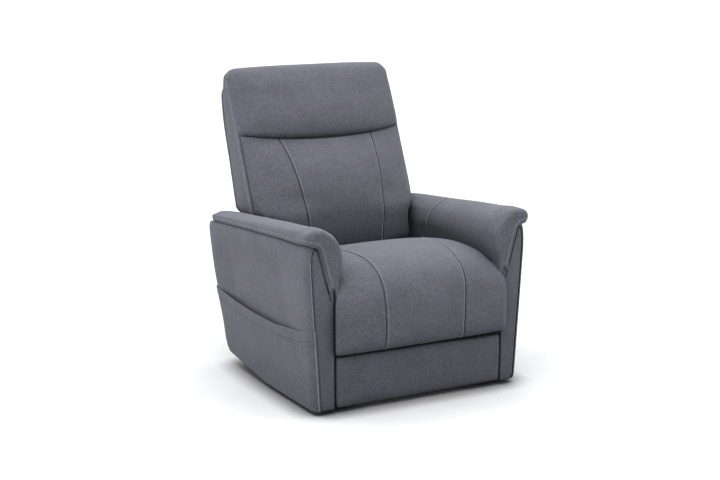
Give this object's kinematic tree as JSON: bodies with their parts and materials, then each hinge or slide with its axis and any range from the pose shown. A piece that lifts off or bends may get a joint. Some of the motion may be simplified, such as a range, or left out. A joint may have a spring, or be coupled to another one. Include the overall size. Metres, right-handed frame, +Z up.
{
  "type": "powered lift recliner chair",
  "caption": "Upholstered armchair on a powered lift base: the chair rises and tips forward, the back reclines and the legrest swings out.",
  "frame": {"origin": "on the floor under the middle of the chair at rest", "axes": "+Z up, the chair faces -Y, +X is the sitter's left"},
  "size_m": [0.882, 0.951, 1.095],
  "materials": {
    "fabric": "faux suede, slate grey",
    "board": "plywood and pine, sawn",
    "steel_black": "satin black powder coat",
    "zinc": "zinc plated",
    "spring": "tempered wire",
    "rubber": "matt",
    "plastic": "fine texture",
    "button": "soft touch grey",
    "webbing": "elastic webbing"
  },
  "bodies": {
    "root": {"floor_rail_left": "steel_black", "floor_rail_right": "steel_black", "floor_cross_tubes": "steel_black", "floor_glides": "rubber", "front_link_brackets": "steel_black", "rear_link_brackets": "steel_black", "carriage_bumpers": "rubber", "floor_pivot_pins": "zinc", "lift_motor_bracket": "steel_black", "power_supply": "plastic", "power_inlet": "plastic"},
    "front_link": {"front_lift_links": "steel_black", "lift_torque_tube": "steel_black", "lift_crank": "steel_black"},
    "rear_link_left": {"rear_lift_link_left": "steel_black"},
    "rear_link_right": {"rear_lift_link_right": "steel_black"},
    "chair": {"carriage_rails": "steel_black", "carriage_plates": "steel_black", "carriage_cross_tubes": "steel_black", "chair_pivot_pins": "zinc", "seat_side_board_left": "board", "seat_side_board_right": "board", "seat_front_rail": "board", "seat_rear_rail": "board", "seat_springs": "spring", "seat_cushion": "fabric", "back_motor_bracket": "steel_black", "hinge_plates": "steel_black", "arm_outer_panel_left": "fabric", "arm_outer_panel_right": "fabric", "arm_inner_panels": "board", "arm_front_panel_left": "fabric", "arm_front_panel_right": "fabric", "arm_frame_left": "board", "arm_frame_right": "board", "arm_pad_left": "fabric", "arm_pad_right": "fabric", "side_pocket": "fabric"},
    "legrest": {"legrest_pad": "fabric", "legrest_board": "board", "lower_front_panel": "fabric", "legrest_arms": "steel_black"},
    "back": {"lumbar_cushion": "fabric", "headrest_cushion": "fabric", "back_shell": "fabric", "back_post_left": "board", "back_post_right": "board", "back_cross_rails": "board", "back_webbing": "webbing", "back_crank": "steel_black"},
    "lift_motor": {"lift_actuator_motor": "plastic", "lift_actuator_tube": "plastic"},
    "lift_rod": {"lift_actuator_rod": "zinc"},
    "back_motor": {"back_actuator_motor": "plastic", "back_actuator_tube": "plastic"},
    "back_rod": {"back_actuator_rod": "zinc"},
    "hand_control": {"hand_control": "plastic"},
    "raise_button": {"raise_button": "button"},
    "lower_button": {"lower_button": "button"}
  },
  "joints": [
    {"name": "lift", "type": "hinge", "parent": "root", "child": "front_link", "pos_m": [0, -0.3755, 0.075], "axis": [1, 0, 0], "range_deg": [0, 58]},
    {"name": "carriage_tilt", "type": "hinge", "parent": "front_link", "child": "chair", "pos_m": [0, 0.02353, 0.1029], "axis": [1, 0, 0], "range_deg": [-33.05, 0.05]},
    {"name": "rear_link_left_swing", "type": "hinge", "parent": "root", "child": "rear_link_left", "pos_m": [0, -0.3917, 0.1], "axis": [1, 0, 0], "range_deg": [-0.05, 58.2]},
    {"name": "rear_link_right_swing", "type": "hinge", "parent": "root", "child": "rear_link_right", "pos_m": [0, -0.3917, 0.1], "axis": [1, 0, 0], "range_deg": [-0.05, 58.2]},
    {"name": "legrest_raise", "type": "hinge", "parent": "chair", "child": "legrest", "pos_m": [0, -0.4305, 0.415], "axis": [-1, 0, 0], "range_deg": [0, 88]},
    {"name": "back_recline", "type": "hinge", "parent": "chair", "child": "back", "pos_m": [0, 0.1795, 0.37], "axis": [-1, 0, 0], "range_deg": [0, 42]},
    {"name": "lift_actuator_swing", "type": "hinge", "parent": "root", "child": "lift_motor", "pos_m": [-0.08, 0.2545, 0.072], "axis": [1, 0, 0], "range_deg": [-1.15, 0.01]},
    {"name": "lift_rod_slide", "type": "slide", "parent": "lift_motor", "child": "lift_rod", "axis": [0, -0.9932, 0.1164], "range_m": [-0.0001, 0.0798]},
    {"name": "back_actuator_swing", "type": "hinge", "parent": "chair", "child": "back_motor", "pos_m": [0.08, -0.1355, 0.205], "axis": [1, 0, 0], "range_deg": [-0.01, 4.25]},
    {"name": "back_rod_slide", "type": "slide", "parent": "back_motor", "child": "back_rod", "axis": [0, 0.9751, 0.2216], "range_m": [-0.0616, 0.0001]},
    {"name": "hand_control_slide", "type": "slide", "parent": "chair", "child": "hand_control", "axis": [-0.0549, 0, 0.9985], "range_m": [0, 0.16]},
    {"name": "raise_button_press", "type": "slide", "parent": "hand_control", "child": "raise_button", "axis": [1, 0, 0], "range_m": [0, 0.001], "stiffness_N_per_m": 400, "springref_m": -0.0005},
    {"name": "lower_button_press", "type": "slide", "parent": "hand_control", "child": "lower_button", "axis": [1, 0, 0], "range_m": [0, 0.001], "stiffness_N_per_m": 400, "springref_m": -0.0005}
  ],
  "couplings": [
    {"joint": "carriage_tilt", "follows": "lift", "ratio": -0.56897},
    {"joint": "rear_link_left_swing", "follows": "lift", "ratio": 1.0009},
    {"joint": "rear_link_right_swing", "follows": "lift", "ratio": 1.0009},
    {"joint": "lift_actuator_swing", "follows": "lift", "ratio": -0.018813},
    {"joint": "lift_rod_slide", "follows": "lift", "m_per_rad": 0.078578},
    {"joint": "back_actuator_swing", "follows": "back_recline", "ratio": 0.10043},
    {"joint": "back_rod_slide", "follows": "back_recline", "m_per_rad": -0.083802}
  ]
}
